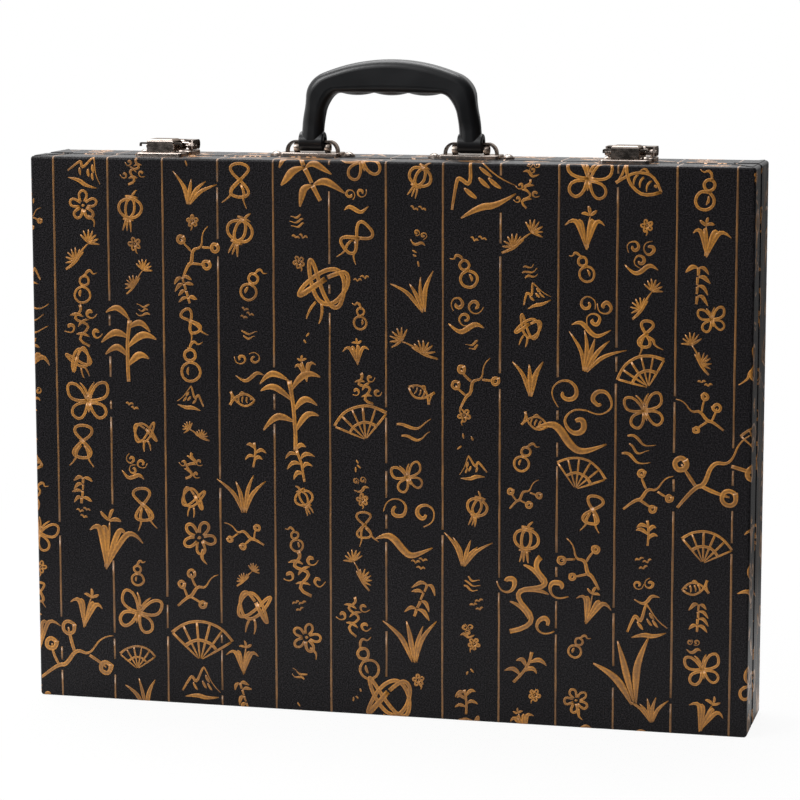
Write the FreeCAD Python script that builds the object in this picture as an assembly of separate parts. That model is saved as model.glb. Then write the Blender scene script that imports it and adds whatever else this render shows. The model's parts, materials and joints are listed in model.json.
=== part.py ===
import FreeCAD, Part
import math
import os

from FreeCAD import Vector

os.makedirs("parts", exist_ok=True)

# A hard game case that stands on its hinged side, in millimetres.
# X runs along the width, Y from the lid's face at the front to the back, Z up.
# The origin is the middle of the case on the surface that it stands on.

# Case
case_width = 420.0
case_height = 320.0
lid_depth = 25.0
base_depth = 35.0
panel_thickness = 3.0
board_thickness = 9.0
covering_thickness = 0.8
lining_thickness = 0.8
turn_in = 12.0
corner_radius = 1.8
face_edge_radius = 1.5
seam_bevel = 3.2
seam_gap = 0.4
soft_gap = 0.3

# Dividers in the base
divider_thickness = 5.0
divider_height = 26.0
piece_bay = 50.0
scoop_width = 50.0
scoop_depth = 12.0
scoop_radius = 5.0

# Hinges
hinge_from_end = 80.0
hinge_length = 30.0
hinge_axis_height = 1.9
barrel_radius = 1.7
hinge_pin_radius = 0.85
running_clearance = 0.05
barrel_clearance = 0.3
leaf_thickness = 0.9
leaf_height = 7.6
leaf_gap = 0.1
knuckle_count = 5
knuckle_gap = 0.15
leaf_screw_spread = 18.0
leaf_screw_height = 4.8
leaf_screw_head = 1.8
leaf_screw_shank = 1.0
leaf_screw_length = 10.0

# Pressed fittings
sheet = 0.8
plate_height = 2.2
plate_corner_radius = 2.0
plate_edge_radius = 0.7
fitting_screw_shank = 1.0
fitting_screw_length = 8.0

# Carrying handle and its two brackets
handle_shift = -3.8
handle_behind_seam = 11.8
foot_spread = 93.6
bracket_width = 35.6
bracket_depth = 16.0
tab_span = 50.4
tab_depth = 10.0
tab_thickness = 0.9
bracket_screw_spread = 43.2
bracket_screw_head = 3.1
bracket_screw_dome = 1.7
loop_width = 31.2
loop_flat = 21.6
loop_height = 6.8
loop_shoulder = 4.1
loop_shoulder_in = 1.0
strip_width = 5.0
strip_thickness = 1.2
foot_radius = 5.7
foot_width = 14.5
foot_bore_clearance = 0.1
foot_edge_radius = 0.8
leg_width = 12.9
leg_depth = 11.2
leg_lean = 3.4
leg_bow = 0.4
leg_rise = 24.4
corner_reach = 8.1
corner_rise = 38.4
corner_fullness = (2.2, 8.2)
crown_fall = 2.1
inner_lean = 1.0
inner_rise = 15.4
inner_fullness = (2.2, 6.8)
underside_fall = 0.6
grip_rise = 47.3
grip_underside = 28.4
grip_half_span = 31.5
grip_depth = 16.0
grip_rounding = 4.6
section_rounding = 0.42
arch_stations = (3, 2, 4)
lobe_count = 3
lobe_pitch = 20.2
lobe_overlap = 0.2
lobe_depth = 1.6
lobe_radius = 7.4

# Draw latches
latch_from_end = 74.6
latch_width = 28.0
strike_depth = 11.4
strike_before_seam = 3.6
latch_plate_behind_seam = 3.4
latch_plate_depth = 18.6
bar_span = 25.4
bar_thickness = 1.0
bar_depth = 1.6
bar_rise = 5.7
bar_hook = 2.3
stem_width = 10.0
bar_before_seam = 10.1
claw_width = 15.7
claw_rise = 7.6
claw_sheet = 1.0
claw_nose_before_seam = 12.0
claw_roof_behind_seam = 1.0
claw_lift = 0.4
claw_arm_radius = 1.75
claw_edge_radius = 1.6
claw_shoulder = 5.0
claw_shoulder_rise = 0.8
claw_heel = 4.0
bar_slot_clearance = 0.9
lever_axis_behind_seam = 8.0
lever_axis_rise = 2.7
lever_sheet = 1.0
lever_boss_radius = 2.2
lever_top_rise = 6.1
lever_slot_clearance = 0.4
lip_behind_seam = 18.0
lip_radius = 2.85
lip_opening = 70.0
toggle_radius = 4.2
toggle_drop = 7.0
ear_radius = 2.0
ear_thickness = 1.0
ear_gap = 0.4
rivet_radius = 1.0
rivet_head_radius = 1.6
rivet_head = 0.5
claw_pin_radius = 0.9
strike_screw_spread = 21.8
strike_screw_setback = 7.2
strike_screw_head = 2.3
strike_screw_dome = 1.4
plate_screw_spread = 9.0
plate_screw_setback = 9.5
plate_screw_head = 2.0

# Sizes that follow
front_y = -(lid_depth + base_depth) / 2
back_y = (lid_depth + base_depth) / 2
seam_y = front_y + lid_depth
top_z = case_height
plate_top = top_z + plate_height
hinge_y = seam_y
hinge_z = hinge_axis_height
hinge_x = case_width / 2 - hinge_from_end
latch_x = case_width / 2 - latch_from_end
handle_y = seam_y + handle_behind_seam
handle_z = plate_top + loop_height - strip_thickness / 2
lever_y = seam_y + lever_axis_behind_seam
lever_z = plate_top + lever_axis_rise
toggle_angle = math.radians(-toggle_drop)
toggle_y = lever_y + toggle_radius * math.cos(toggle_angle)
toggle_z = lever_z + toggle_radius * math.sin(toggle_angle)


# Small helpers

def block(x_range, y_range, z_range):
    low = Vector(min(x_range), min(y_range), min(z_range))
    high = Vector(max(x_range), max(y_range), max(z_range))
    size = high - low
    return Part.makeBox(size.x, size.y, size.z, low)


def centred(width, middle=0.0):
    return (middle - width / 2, middle + width / 2)


def rod(radius, start, end):
    start = Vector(*start)
    along = Vector(*end) - start
    return Part.makeCylinder(radius, along.Length, start, along)


def moved(shape, x=0.0, y=0.0, z=0.0):
    copy = shape.copy()
    copy.translate(Vector(x, y, z))
    return copy


def edges_in_plane(shape, axis, value):
    found = []
    for edge in shape.Edges:
        box = edge.BoundBox
        low = getattr(box, axis + "Min")
        high = getattr(box, axis + "Max")
        if abs(low - value) < 1e-4 and abs(high - value) < 1e-4:
            found.append(edge)
    return found


def straight_edges_along(shape, direction):
    found = []
    for edge in shape.Edges:
        if not isinstance(edge.Curve, Part.Line):
            continue
        if abs(edge.tangentAt(edge.FirstParameter).dot(direction)) > 0.999:
            found.append(edge)
    return found


def fused(shapes):
    return shapes[0].multiFuse(shapes[1:]).removeSplitter() if len(shapes) > 1 else shapes[0]


def profile_yz(points, x_range):
    """A closed outline of (y, z) points, pushed along X."""
    corners = [Vector(min(x_range), y, z) for y, z in points]
    face = Part.Face(Part.makePolygon(corners + corners[:1]))
    return face.extrude(Vector(max(x_range) - min(x_range), 0, 0))


def outline_face(steps, y=0.0):
    """A face in XZ from lines (two points) and arcs (three points)."""
    edges = []
    for step in steps:
        points = [Vector(x, y, z) for x, z in step]
        if len(points) == 2:
            edges.append(Part.LineSegment(*points).toShape())
        else:
            edges.append(Part.Arc(*points).toShape())
    return Part.Face(Part.Wire(edges))


def mirrored_steps(steps):
    """The same steps on the other side of X = 0, walked backwards."""
    return [[(-x, z) for x, z in reversed(step)] for step in reversed(steps)]


# Wooden shells with their coverings and linings

def shell_form(face_y, rim_y, inset):
    """The outer form of one half: rounded corners and face edges, bevelled rim."""
    inward = 1 if rim_y > face_y else -1
    face = face_y + inward * inset
    rim = rim_y - inward * inset
    plain = block(centred(case_width - 2 * inset), (face, rim), (inset, case_height - inset))
    rounded = plain.makeFillet(corner_radius - inset, straight_edges_along(plain, Vector(0, 1, 0)))
    rounded = rounded.makeFillet(face_edge_radius - inset, edges_in_plane(rounded, "Y", face))
    bevel = seam_bevel - (2 - math.sqrt(2)) * inset
    return rounded.common(plain.makeChamfer(bevel, edges_in_plane(plain, "Y", rim)))


def cavity_block(inset, y_range):
    side = covering_thickness + board_thickness + inset
    return block(centred(case_width - 2 * side), y_range, (side, case_height - side))


def make_shell(face_y, rim_y):
    """Covering, lining, panel and four boards of one half."""
    inward = 1 if rim_y > face_y else -1
    skin = covering_thickness
    outer = shell_form(face_y, rim_y, 0.0)
    core = shell_form(face_y, rim_y, skin)
    wood_rim = rim_y - inward * skin
    panel_face = face_y + inward * skin
    panel_inside = panel_face + inward * panel_thickness
    turn_in_end = rim_y - inward * turn_in

    mouth = cavity_block(skin, (wood_rim - inward, rim_y + inward))
    rim_collar = cavity_block(0.0, (turn_in_end, wood_rim))
    rim_collar = rim_collar.cut(cavity_block(skin, (turn_in_end - inward, rim_y + inward)))
    covering = outer.cut(core).cut(mouth).fuse(rim_collar).removeSplitter()

    wood = core.cut(cavity_block(0.0, (panel_inside, rim_y + inward)))
    wide = centred(case_width)
    side = skin + board_thickness
    board_y = (panel_inside, rim_y)
    middle_z = (side, case_height - side)
    pieces = {
        "panel": wood.common(block(wide, (panel_face, panel_inside), (0, case_height))),
        "top_board": wood.common(block(wide, board_y, (case_height - side, case_height))),
        "bottom_board": wood.common(block(wide, board_y, (0, side))),
        "left_board": wood.common(block((-case_width / 2, side - case_width / 2), board_y, middle_z)),
        "right_board": wood.common(block((case_width / 2 - side, case_width / 2), board_y, middle_z)),
        "covering": covering,
    }
    lining_end = turn_in_end - inward * soft_gap
    lining = cavity_block(0.0, (panel_inside, lining_end))
    hollow = cavity_block(lining_thickness, (panel_inside + inward * lining_thickness, lining_end + inward))
    pieces["lining"] = lining.cut(hollow)
    return pieces


def make_divider(low_z):
    """A velvet covered board across the base, with a finger scoop in its free edge."""
    side = covering_thickness + board_thickness + lining_thickness
    foot_y = back_y - covering_thickness - panel_thickness - lining_thickness
    free_y = foot_y - divider_height
    plate = block(
        centred(case_width - 2 * side - 2 * soft_gap),
        (free_y, foot_y),
        (low_z, low_z + divider_thickness),
    )
    scoop = block(
        centred(scoop_width),
        (free_y - scoop_depth, free_y + scoop_depth),
        (low_z - 1, low_z + divider_thickness + 1),
    )
    scoop = scoop.makeFillet(scoop_radius, straight_edges_along(scoop, Vector(0, 0, 1)))
    return plate.cut(scoop)


# Hinges

def knuckle_span(index):
    pitch = hinge_length / knuckle_count
    start = -hinge_length / 2 + index * pitch
    return (start + knuckle_gap / 2, start + pitch - knuckle_gap / 2)


def make_leaf(toward, own_knuckles):
    """One leaf in the seam: toward is -1 on the lid and 1 on the base."""
    near = hinge_y + toward * leaf_gap / 2
    far = near + toward * leaf_thickness
    leaf = block(centred(hinge_length), (near, far), (hinge_z, hinge_z + leaf_height))
    for index in range(knuckle_count):
        low, high = knuckle_span(index)
        if index in own_knuckles:
            knuckle = rod(barrel_radius, (low, hinge_y, hinge_z), (high, hinge_y, hinge_z))
            leaf = leaf.fuse(knuckle)
        else:
            relief_radius = barrel_radius + knuckle_gap
            ends = (low - knuckle_gap, high + knuckle_gap)
            relief = rod(relief_radius, (ends[0], hinge_y, hinge_z), (ends[1], hinge_y, hinge_z))
            leaf = leaf.cut(relief)
    bore = rod(
        hinge_pin_radius + running_clearance,
        (-hinge_length, hinge_y, hinge_z),
        (hinge_length, hinge_y, hinge_z),
    )
    return leaf.cut(bore).removeSplitter()


def countersunk_screw(head_radius, shank_radius, head_depth, length, tip_radius):
    """Along -Z, with the flat of its head at Z = 0."""
    head = Part.makeCone(shank_radius, head_radius, head_depth, Vector(0, 0, -head_depth))
    shank = Part.makeCylinder(shank_radius, length - head_depth - shank_radius, Vector(0, 0, -head_depth),
                              Vector(0, 0, -1))
    tip_start = Vector(0, 0, -(length - shank_radius))
    tip = Part.makeCone(shank_radius, tip_radius, shank_radius, tip_start, Vector(0, 0, -1))
    return head.multiFuse([shank, tip]).removeSplitter()


def dome_screw(head_radius, dome, shank_radius, length):
    """Along -Z, with the underside of its domed head at Z = 0."""
    ball_radius = (head_radius ** 2 + dome ** 2) / (2 * dome)
    ball = Part.makeSphere(ball_radius, Vector(0, 0, dome - ball_radius))
    cap = ball.common(Part.makeCylinder(head_radius + 1, dome + 1))
    shank = Part.makeCylinder(shank_radius, length, Vector(0, 0, 0), Vector(0, 0, -1))
    return cap.fuse(shank).removeSplitter()


def leaf_screws(toward):
    """The two screws of one leaf, driven from the seam into the rim."""
    screws = []
    head_y = hinge_y + toward * leaf_gap / 2
    for x in centred(leaf_screw_spread):
        screw = countersunk_screw(
            leaf_screw_head, leaf_screw_shank, leaf_thickness, leaf_screw_length, leaf_screw_shank / 4)
        screw.rotate(Vector(0, 0, 0), Vector(1, 0, 0), 90 * toward)
        screws.append(moved(screw, x, head_y, hinge_z + leaf_screw_height))
    return screws


def hinge_seat(toward):
    """What the leaf and the barrel take out of the rim of one half."""
    rim = hinge_y + toward * seam_gap / 2
    back = hinge_y + toward * (leaf_gap / 2 + leaf_thickness)
    leaf = block(
        centred(hinge_length + 2 * knuckle_gap),
        (rim - toward, back),
        (hinge_z - 3 * barrel_radius, hinge_z + leaf_height + knuckle_gap),
    )
    ends = centred(hinge_length + 2 * barrel_clearance)
    barrel = rod(
        barrel_radius + barrel_clearance,
        (ends[0], hinge_y, hinge_z),
        (ends[1], hinge_y, hinge_z),
    )
    return leaf.fuse(barrel)


# Pressed fittings

def pressed_plate(x_range, y_range):
    """A shallow upside-down tray of sheet steel that stands on the top of the case."""
    outer = block(x_range, y_range, (top_z, plate_top))
    outer = outer.makeFillet(plate_corner_radius, straight_edges_along(outer, Vector(0, 0, 1)))
    outer = outer.makeFillet(plate_edge_radius, edges_in_plane(outer, "Z", plate_top))
    inner = block(
        (min(x_range) + sheet, max(x_range) - sheet),
        (min(y_range) + sheet, max(y_range) - sheet),
        (top_z - sheet, plate_top - sheet),
    )
    return outer.cut(inner)


def make_loop():
    """The strip that arches over the bracket and carries one foot of the handle."""
    foot_z = plate_top - sheet / 2

    def side(width, flat, height, shoulder, shoulder_in):
        start = (width / 2, plate_top)
        middle = (width / 2 - shoulder_in, plate_top + shoulder)
        end = (flat / 2, plate_top + height)
        return [[(width / 2, foot_z), start], [start, middle, end]]

    outer = side(loop_width, loop_flat, loop_height, loop_shoulder, loop_shoulder_in)
    inner = side(
        loop_width - 2 * strip_thickness,
        loop_flat - strip_thickness / 2,
        loop_height - strip_thickness,
        loop_shoulder - strip_thickness / 2,
        loop_shoulder_in,
    )
    outer_top = outer[-1][-1]
    inner_top = inner[-1][-1]
    steps = outer
    steps = steps + [[outer_top, (-outer_top[0], outer_top[1])]]
    steps = steps + mirrored_steps(outer)
    steps = steps + [[(-loop_width / 2, foot_z), (-loop_width / 2 + strip_thickness, foot_z)]]
    steps = steps + [[(-x, z) for x, z in step] for step in inner]
    steps = steps + [[(-inner_top[0], inner_top[1]), inner_top]]
    steps = steps + [[(x, z) for x, z in reversed(step)] for step in reversed(inner)]
    steps = steps + [[(loop_width / 2 - strip_thickness, foot_z), (loop_width / 2, foot_z)]]
    strip = outline_face(steps, handle_y - strip_width / 2).extrude(Vector(0, strip_width, 0))
    return strip


def make_bracket():
    """One handle bracket about X = 0: raised middle, two screw tabs and the welded loop."""
    middle = pressed_plate(centred(bracket_width), centred(bracket_depth, handle_y))
    tabs = block(centred(tab_span), centred(tab_depth, handle_y), (top_z, top_z + tab_thickness))
    tabs = tabs.makeFillet(tab_depth / 2 - 0.01, straight_edges_along(tabs, Vector(0, 0, 1)))
    inside = block(
        centred(bracket_width - 2 * sheet),
        centred(bracket_depth, handle_y),
        (top_z - sheet, top_z + 2 * tab_thickness),
    )
    return fused([middle, tabs.cut(inside), make_loop()])


def bracket_screws():
    screws = []
    for x in centred(bracket_screw_spread):
        screw = dome_screw(bracket_screw_head, bracket_screw_dome, fitting_screw_shank, fitting_screw_length)
        screws.append(moved(screw, x, handle_y, top_z + tab_thickness))
    return screws


# Carrying handle, with heights measured from the axis that it swings on

def handle_outlines():
    """Outer and inner outline of half the arch: leg, corner and crown of each, as arcs."""
    outer_foot = foot_spread / 2 + leg_width / 2
    outer_knee = outer_foot - leg_lean
    crown_start = outer_knee - corner_reach
    outer = [
        [(outer_foot, 0), ((outer_foot + outer_knee) / 2 + leg_bow, leg_rise / 2), (outer_knee, leg_rise)],
        [(outer_knee, leg_rise), (outer_knee - corner_fullness[0], leg_rise + corner_fullness[1]),
         (crown_start, corner_rise)],
        [(crown_start, corner_rise), (crown_start / 2, grip_rise - crown_fall), (0, grip_rise)],
    ]
    inner_foot = foot_spread / 2 - leg_width / 2
    inner_knee = inner_foot - inner_lean
    inner = [
        [(inner_foot, 0), (inner_foot - inner_lean / 4, inner_rise / 2), (inner_knee, inner_rise)],
        [(inner_knee, inner_rise), (inner_knee - inner_fullness[0], inner_rise + inner_fullness[1]),
         (grip_half_span, grip_underside - underside_fall)],
        [(grip_half_span, grip_underside - underside_fall),
         (grip_half_span / 2, grip_underside - underside_fall / 4), (0, grip_underside)],
    ]
    return outer, inner


def points_along(outline):
    points = []
    for arc, count in zip(outline, arch_stations):
        edge = Part.Arc(*[Vector(x, 0, z) for x, z in arc]).toShape()
        points = points + edge.discretize(Number=count + 1)[:-1]
    return points + [Vector(outline[-1][-1][0], 0, outline[-1][-1][1])]


def arch_section(outer, inner):
    """A rounded oblong across the arch, deeper towards the crown."""
    middle = (outer + inner) * 0.5
    across = outer - inner
    height = across.Length / 2
    across.normalize()
    rise = (middle.z - leg_rise / 3) / (grip_underside - leg_rise / 3)
    rise = min(max(rise, 0), 1)
    swell = rise * rise * (3 - 2 * rise)
    depth = (leg_depth + (grip_depth - leg_depth) * swell) / 2
    rounding = min(grip_rounding, section_rounding * 2 * min(height, depth))
    notch = rounding * (1 - math.sqrt(0.5))

    def place(upward, backward):
        return middle + across * upward + Vector(0, backward, 0)

    edges = []
    turns = [(1, -1), (1, 1), (-1, 1), (-1, -1)]
    for (up, back), (next_up, next_back) in zip(turns, turns[1:] + turns[:1]):
        first = place(up * height, back * (depth - rounding))
        last = place(up * (height - rounding), back * depth)
        if up * back < 0:
            first, last = last, first
        through = place(up * (height - notch), back * (depth - notch))
        if next_up == up:
            onward = place(next_up * height, next_back * (depth - rounding))
        else:
            onward = place(next_up * (height - rounding), next_back * depth)
        edges.append(Part.Arc(first, through, last).toShape())
        edges.append(Part.LineSegment(last, onward).toShape())
    return Part.Wire(edges)


def make_handle():
    """A moulded arch, two foot barrels bored for the loops, and the finger lobes."""
    outer, inner = handle_outlines()
    pairs = list(zip(points_along(outer), points_along(inner)))
    other_side = [[Vector(-point.x, 0, point.z) for point in pair] for pair in pairs[-2::-1]]
    sections = [arch_section(*pair) for pair in pairs + other_side]
    solids = [Part.makeLoft(sections, True, False, False, 2)]
    for side in (-1, 1):
        ends = centred(foot_width, side * foot_spread / 2)
        foot = rod(foot_radius, (ends[0], 0, 0), (ends[1], 0, 0))
        rims = [edge for edge in foot.Edges if edge.BoundBox.XLength < 1e-4]
        solids.append(foot.makeFillet(foot_edge_radius, rims))
    for index in range(lobe_count):
        middle = (index - (lobe_count - 1) / 2) * lobe_pitch
        solids.append(moved(make_lobe(), middle, 0, grip_underside - lobe_depth + lobe_radius))
    bore_radius = math.hypot(strip_width, strip_thickness) / 2 + foot_bore_clearance
    bore = rod(bore_radius, (-foot_spread, 0, 0), (foot_spread, 0, 0))
    return moved(fused(solids).cut(bore), handle_shift, handle_y, handle_z)


def make_lobe():
    """A barrel along X whose underside is one finger lobe."""
    half = lobe_pitch / 2 + lobe_overlap
    end = lobe_radius - lobe_depth
    profile = Part.Wire([
        Part.LineSegment(Vector(-half, 0, 0), Vector(-half, 0, -end)).toShape(),
        Part.Arc(Vector(-half, 0, -end), Vector(0, 0, -lobe_radius), Vector(half, 0, -end)).toShape(),
        Part.LineSegment(Vector(half, 0, -end), Vector(half, 0, 0)).toShape(),
        Part.LineSegment(Vector(half, 0, 0), Vector(-half, 0, 0)).toShape(),
    ])
    return Part.Face(profile).revolve(Vector(0, 0, 0), Vector(1, 0, 0), 360)


# Draw latches, made about X = 0

def make_strike():
    """Keeper on the lid: pressed plate with a stem and a bar whose ends hook down."""
    near = seam_y - strike_before_seam
    plate = pressed_plate(centred(latch_width), (near - strike_depth, near))
    bar_y = centred(bar_depth, seam_y - bar_before_seam)
    stem = block(centred(stem_width), bar_y, (plate_top - sheet, plate_top + bar_rise))
    bar_top = plate_top + bar_rise
    bar = block(centred(bar_span), bar_y, (bar_top - bar_hook, bar_top))
    bar = bar.makeFillet(bar_thickness, [
        edge for edge in straight_edges_along(bar, Vector(0, 1, 0)) if edge.BoundBox.ZMin > bar_top - 0.1])
    under = block(centred(bar_span - 2 * bar_thickness), centred(2 * bar_depth, seam_y - bar_before_seam),
                  (bar_top - 2 * bar_hook, bar_top - bar_thickness))
    return fused([plate, stem, bar.cut(under)])


def strike_screws():
    screws = []
    y = seam_y - strike_screw_setback
    for x in centred(strike_screw_spread):
        screw = dome_screw(strike_screw_head, strike_screw_dome, fitting_screw_shank, fitting_screw_length)
        screws.append(moved(screw, x, y, plate_top))
    return screws


def make_latch_plate():
    """Base plate behind the seam, with the two ears that the lever turns between."""
    near = seam_y + latch_plate_behind_seam
    plate = pressed_plate(centred(latch_width), (near, near + latch_plate_depth))
    outside = latch_width / 2 - lever_sheet - ear_gap
    solids = [plate]
    for side in (-1, 1):
        x_range = (side * (outside - ear_thickness), side * outside)
        upright = block(x_range, centred(2 * ear_radius, lever_y), (plate_top - sheet, lever_z))
        crown = rod(ear_radius, (x_range[0], lever_y, lever_z), (x_range[1], lever_y, lever_z))
        solids = solids + [upright, crown]
    bore = rod(rivet_radius + running_clearance, (-latch_width, lever_y, lever_z),
               (latch_width, lever_y, lever_z))
    return fused(solids).cut(bore)


def latch_plate_screws():
    screws = []
    y = seam_y + latch_plate_behind_seam + plate_screw_setback
    for x in centred(plate_screw_spread):
        screw = countersunk_screw(
            plate_screw_head, fitting_screw_shank, sheet, fitting_screw_length, fitting_screw_shank / 4)
        screws.append(moved(screw, x, y, plate_top))
    return screws


def make_lever():
    """Lever with two cheeks, a slotted web and a rolled finger lip."""
    lip_y = seam_y + lip_behind_seam
    web_top = plate_top + lever_top_rise
    lip_z = web_top - lip_radius
    boss = lever_boss_radius
    cheek_outline = [
        (lever_y - 0.6 * boss, web_top),
        (lever_y - 0.95 * boss, lever_z),
        (lever_y - 0.5 * boss, lever_z - 0.85 * boss),
        (lever_y + 0.5 * boss, lever_z - boss),
        (toggle_y + claw_arm_radius, toggle_z - claw_arm_radius),
        (lip_y, lip_z),
        (lip_y, web_top),
    ]
    cheeks = [
        profile_yz(cheek_outline, (side * (latch_width / 2 - lever_sheet), side * latch_width / 2))
        for side in (-1, 1)
    ]
    web = block(centred(latch_width), (lever_y, lip_y), (web_top - lever_sheet, web_top))
    slot_width = claw_width + 2 * lever_slot_clearance
    slot_depth = (web_top - 2 * lever_sheet, web_top + 1)
    slot = block(centred(slot_width), (lever_y - 1, lip_y - lip_radius / 2), slot_depth)
    ends = centred(latch_width)
    lip = rod(lip_radius, (ends[0], lip_y, lip_z), (ends[1], lip_y, lip_z))
    hollow = rod(lip_radius - lever_sheet, (ends[0] - 1, lip_y, lip_z), (ends[1] + 1, lip_y, lip_z))
    reach = 2 * lip_radius
    start = math.radians(180)
    end = math.radians(180 + lip_opening)
    mouth = profile_yz([
        (lip_y, lip_z),
        (lip_y + reach * math.cos(start), lip_z + reach * math.sin(start)),
        (lip_y + reach * math.cos(end), lip_z + reach * math.sin(end)),
    ], (ends[0] - 1, ends[1] + 1))
    body = fused(cheeks + [web.cut(slot), lip.cut(mouth)]).cut(hollow)
    rivet_bore = rod(rivet_radius, (-latch_width, lever_y, lever_z), (latch_width, lever_y, lever_z))
    pin_bore = rod(claw_pin_radius, (-latch_width, toggle_y, toggle_z), (latch_width, toggle_y, toggle_z))
    return body.cut(rivet_bore).cut(pin_bore)


def lever_rivets():
    """Two short rivets, through a cheek and an ear on each side."""
    cheek_outside = latch_width / 2
    ear_inside = cheek_outside - lever_sheet - ear_gap - ear_thickness
    play = 2 * running_clearance
    rivets = []
    for side in (-1, 1):
        spans = [
            (rivet_head_radius, cheek_outside, cheek_outside + rivet_head),
            (rivet_radius, ear_inside - play, cheek_outside),
            (rivet_head_radius, ear_inside - play - rivet_head, ear_inside - play),
        ]
        rivets.append(fused([
            rod(radius, (side * low, lever_y, lever_z), (side * high, lever_y, lever_z))
            for radius, low, high in spans
        ]))
    return rivets


def make_claw_pin():
    reach = latch_width / 2 + rivet_head
    pin = rod(claw_pin_radius, (-reach, toggle_y, toggle_z), (reach, toggle_y, toggle_z))
    return pin.makeFillet(rivet_head / 2, [edge for edge in pin.Edges if edge.BoundBox.XLength < 1e-4])


def make_claw():
    """Box shaped claw: nose over the bar of the strike, two arms back to its pin."""
    nose_y = seam_y - claw_nose_before_seam
    floor_z = plate_top + claw_lift
    roof_z = plate_top + claw_rise
    roof_end = seam_y + claw_roof_behind_seam
    arm_top = toggle_z + claw_arm_radius
    side_outline = [
        (nose_y, floor_z),
        (nose_y, roof_z),
        (roof_end, roof_z),
        (roof_end + claw_shoulder, arm_top + claw_shoulder_rise),
        (toggle_y, arm_top),
        (toggle_y, toggle_z - claw_arm_radius),
        (roof_end + claw_heel, floor_z),
    ]
    body = profile_yz(side_outline, centred(claw_width))
    long_edges = [edge for edge in straight_edges_along(body, Vector(0, 1, 0))
                  if edge.BoundBox.ZMin > roof_z - 0.1]
    nose_edge = [edge for edge in straight_edges_along(body, Vector(1, 0, 0))
                 if edge.BoundBox.ZMin > roof_z - 0.1 and edge.BoundBox.YMax < nose_y + 0.1]
    body = body.makeFillet(claw_edge_radius, long_edges + nose_edge)
    inside_width = claw_width - 2 * claw_sheet
    past_end = toggle_y + 2 * claw_arm_radius
    hollow = block(centred(inside_width), (nose_y + claw_sheet, past_end),
                   (floor_z - 1, roof_z - claw_sheet))
    open_back = block(centred(inside_width), (roof_end, past_end), (floor_z - 1, roof_z + 1))
    body = body.cut(hollow).cut(open_back)
    ends = centred(claw_width)
    boss = rod(claw_arm_radius, (ends[0], toggle_y, toggle_z), (ends[1], toggle_y, toggle_z))
    boss = boss.cut(open_back)
    bar_slot = block(
        centred(2 * claw_width),
        centred(bar_depth + 2 * bar_slot_clearance, seam_y - bar_before_seam),
        (floor_z - 1, plate_top + bar_rise + bar_slot_clearance / 2),
    )
    bore = rod(claw_pin_radius + running_clearance, (-claw_width, toggle_y, toggle_z),
               (claw_width, toggle_y, toggle_z))
    return fused([body, boss]).cut(bar_slot).cut(bore)


# Assembly

nodes = {}
lid = make_shell(front_y, seam_y - seam_gap / 2)
base = make_shell(back_y, seam_y + seam_gap / 2)
inner_low = covering_thickness + board_thickness + lining_thickness
nodes["lower_divider"] = make_divider(inner_low + piece_bay)
nodes["upper_divider"] = make_divider(case_height - inner_low - piece_bay - divider_thickness)

side_names = {-1: "left", 1: "right"}
lid_hinge_screws = []
base_hinge_screws = []
for side, name in side_names.items():
    x = side * hinge_x
    nodes[name + "_hinge_lid_leaf"] = moved(make_leaf(-1, (1, 3)), x)
    nodes[name + "_hinge_base_leaf"] = moved(make_leaf(1, (0, 2, 4)), x)
    nodes[name + "_hinge_pin"] = rod(
        hinge_pin_radius,
        (x - hinge_length / 2, hinge_y, hinge_z),
        (x + hinge_length / 2, hinge_y, hinge_z),
    )
    lid_hinge_screws = lid_hinge_screws + [moved(screw, x) for screw in leaf_screws(-1)]
    base_hinge_screws = base_hinge_screws + [moved(screw, x) for screw in leaf_screws(1)]
    for shell, toward in ((lid, -1), (base, 1)):
        seat = moved(hinge_seat(toward), x)
        for piece in ("covering", "bottom_board"):
            shell[piece] = shell[piece].cut(seat)

all_bracket_screws = []
all_strike_screws = []
all_plate_screws = []
for side, name in side_names.items():
    x = handle_shift + side * foot_spread / 2
    nodes[name + "_bracket"] = moved(make_bracket(), x)
    all_bracket_screws = all_bracket_screws + [moved(screw, x) for screw in bracket_screws()]
    x = side * latch_x
    nodes[name + "_strike"] = moved(make_strike(), x)
    nodes[name + "_latch_plate"] = moved(make_latch_plate(), x)
    nodes[name + "_lever"] = moved(make_lever(), x)
    nodes[name + "_lever_rivets"] = Part.makeCompound([moved(rivet, x) for rivet in lever_rivets()])
    nodes[name + "_claw_pin"] = moved(make_claw_pin(), x)
    nodes[name + "_claw"] = moved(make_claw(), x)
    all_strike_screws = all_strike_screws + [moved(screw, x) for screw in strike_screws()]
    all_plate_screws = all_plate_screws + [moved(screw, x) for screw in latch_plate_screws()]

nodes["handle"] = make_handle()


def drilled(shape, screws):
    for screw in screws:
        shape = shape.cut(screw)
    return shape


for toward, shell, hinge_screws, top_screws in (
    (-1, lid, lid_hinge_screws, all_strike_screws),
    (1, base, base_hinge_screws, all_bracket_screws + all_plate_screws),
):
    shell["bottom_board"] = drilled(shell["bottom_board"], hinge_screws)
    shell["top_board"] = drilled(shell["top_board"], top_screws)
    shell["covering"] = drilled(shell["covering"], hinge_screws + top_screws)

for name in side_names.values():
    for node, screws in (
        (name + "_hinge_lid_leaf", lid_hinge_screws),
        (name + "_hinge_base_leaf", base_hinge_screws),
        (name + "_bracket", all_bracket_screws),
        (name + "_strike", all_strike_screws),
        (name + "_latch_plate", all_plate_screws),
    ):
        nodes[node] = drilled(nodes[node], screws)

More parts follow.
